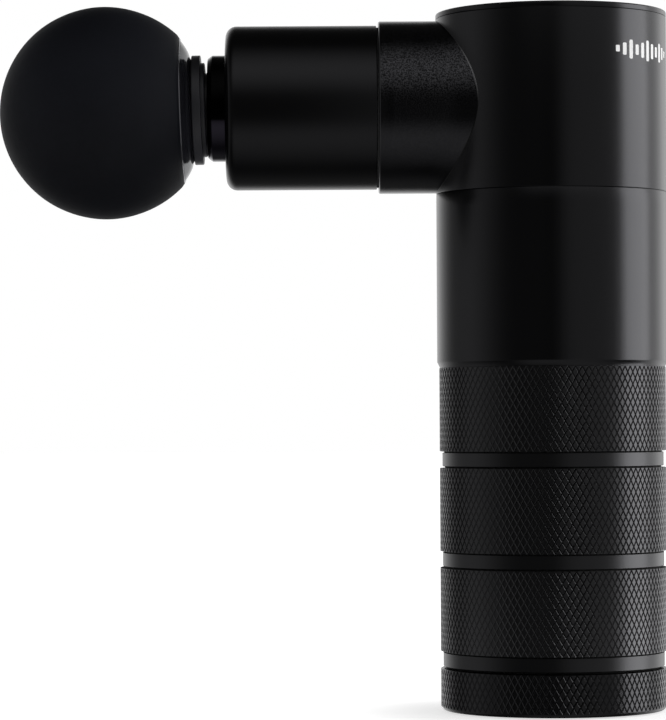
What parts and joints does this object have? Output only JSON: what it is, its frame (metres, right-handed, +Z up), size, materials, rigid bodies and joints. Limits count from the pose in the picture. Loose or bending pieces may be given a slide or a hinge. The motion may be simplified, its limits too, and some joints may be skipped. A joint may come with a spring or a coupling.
{
  "type": "massage gun",
  "caption": "Handheld percussion massager: upright round body with knurled grip bands and a side arm that drives a soft ball head.",
  "frame": {"origin": "centre of the base pad's underside, on the axis of the upright barrel", "axes": "+Z up along the barrel, -X forward along the arm to the ball head, +Y to the left seen from behind the head"},
  "size_m": [0.1447, 0.05, 0.1533],
  "materials": {
    "handle_tube": "black anodised, knurled grip",
    "end_cap": "black anodised, knurled",
    "end_cap_o_ring": "nitrile",
    "base_pad": "matte rubber",
    "charge_port_shell": "stamped steel",
    "charge_port_tongue": "moulded",
    "charge_board": "solder mask",
    "battery_cells": "sleeved steel can",
    "battery_holders": "moulded",
    "battery_strips": "nickel",
    "charge_leads": "silicone wire",
    "control_board": "solder mask",
    "control_components": "moulded packages",
    "board_standoffs": "turned brass",
    "motor_leads": "silicone wire",
    "motor_mount": "machined",
    "motor_screws": "zinc plated",
    "seam_o_ring": "nitrile",
    "motor_case": "phosphated steel",
    "motor_end_bell": "die cast",
    "stator_core": "stacked laminations",
    "stator_coils": "enamelled copper",
    "motor_bearings": "ground steel",
    "motor_isolator_rings": "soft rubber",
    "head_housing": "black anodised, satin",
    "arm_collar": "black anodised, bead blasted",
    "nose_seal_ring": "nitrile",
    "nose_barrel": "black anodised, satin",
    "front_guide_bush": "acetal",
    "rear_guide_bush": "acetal",
    "bush_spacer": "turned",
    "nose_wiper": "felt filled rubber",
    "lid": "black anodised, satin",
    "control_panel": "gloss black",
    "panel_light_guides": "clear acrylic",
    "panel_board": "solder mask",
    "panel_leds": "LED lens",
    "panel_screws": "zinc plated",
    "button_switch": "moulded",
    "panel_flex_cable": "polyimide film",
    "motor_shaft": "ground steel",
    "rotor_core": "stacked laminations",
    "rotor_magnets": "nickel plated",
    "crank_disc": "sintered steel",
    "crank_pin": "ground steel",
    "crank_bearing_rings": "ground steel",
    "crank_bearing_balls": "polished steel",
    "crank_retainer": "zinc plated",
    "yoke": "machined",
    "piston_sleeve": "polished black anodised",
    "head_core": "gloss black nylon",
    "ball_foam": "closed cell foam, matte skin",
    "shank_o_rings": "nitrile",
    "power_button": "satin black"
  },
  "bodies": {
    "housing": {"handle_tube": "handle_tube", "end_cap": "end_cap", "end_cap_o_ring": "end_cap_o_ring", "base_pad": "base_pad", "charge_port_shell": "charge_port_shell", "charge_port_tongue": "charge_port_tongue", "charge_board": "charge_board", "battery_cells": "battery_cells", "battery_holders": "battery_holders", "battery_strips": "battery_strips", "charge_leads": "charge_leads", "control_board": "control_board", "control_components": "control_components", "board_standoffs": "board_standoffs", "motor_leads": "motor_leads", "motor_mount": "motor_mount", "motor_screws": "motor_screws", "seam_o_ring": "seam_o_ring", "motor_case": "motor_case", "motor_end_bell": "motor_end_bell", "stator_core": "stator_core", "stator_coils": "stator_coils", "motor_bearings": "motor_bearings", "motor_isolator_rings": "motor_isolator_rings", "head_housing": "head_housing", "arm_collar": "arm_collar", "nose_seal_ring": "nose_seal_ring", "nose_barrel": "nose_barrel", "front_guide_bush": "front_guide_bush", "rear_guide_bush": "rear_guide_bush", "bush_spacer": "bush_spacer", "nose_wiper": "nose_wiper", "lid": "lid", "control_panel": "control_panel", "panel_light_guides": "panel_light_guides", "panel_board": "panel_board", "panel_leds": "panel_leds", "panel_screws": "panel_screws", "button_switch": "button_switch", "panel_flex_cable": "panel_flex_cable"},
    "crank": {"motor_shaft": "motor_shaft", "rotor_core": "rotor_core", "rotor_magnets": "rotor_magnets", "crank_disc": "crank_disc", "crank_pin": "crank_pin", "crank_bearing_rings": "crank_bearing_rings", "crank_bearing_balls": "crank_bearing_balls", "crank_retainer": "crank_retainer"},
    "piston": {"yoke": "yoke", "piston_sleeve": "piston_sleeve"},
    "attachment": {"head_core": "head_core", "ball_foam": "ball_foam", "shank_o_rings": "shank_o_rings"},
    "button": {"power_button": "power_button"}
  },
  "joints": [
    {"name": "crank_spin", "type": "hinge", "parent": "housing", "child": "crank", "pos_m": [0, 0, 0.12345], "axis": [0, 0, 1], "range_deg": [-90, 90]},
    {"name": "piston_stroke", "type": "slide", "parent": "housing", "child": "piston", "axis": [-1, 0, 0], "range_m": [-0.0035, 0.0035]},
    {"name": "attachment_pull", "type": "slide", "parent": "piston", "child": "attachment", "axis": [-1, 0, 0], "range_m": [0, 0.02]},
    {"name": "power_press", "type": "slide", "parent": "housing", "child": "button", "axis": [0, 0, -1], "range_m": [0, 0.0005], "stiffness_N_per_m": 3000}
  ],
  "couplings": [
    {"joint": "piston_stroke", "follows": "crank_spin", "m_per_rad": 0.0022282}
  ]
}
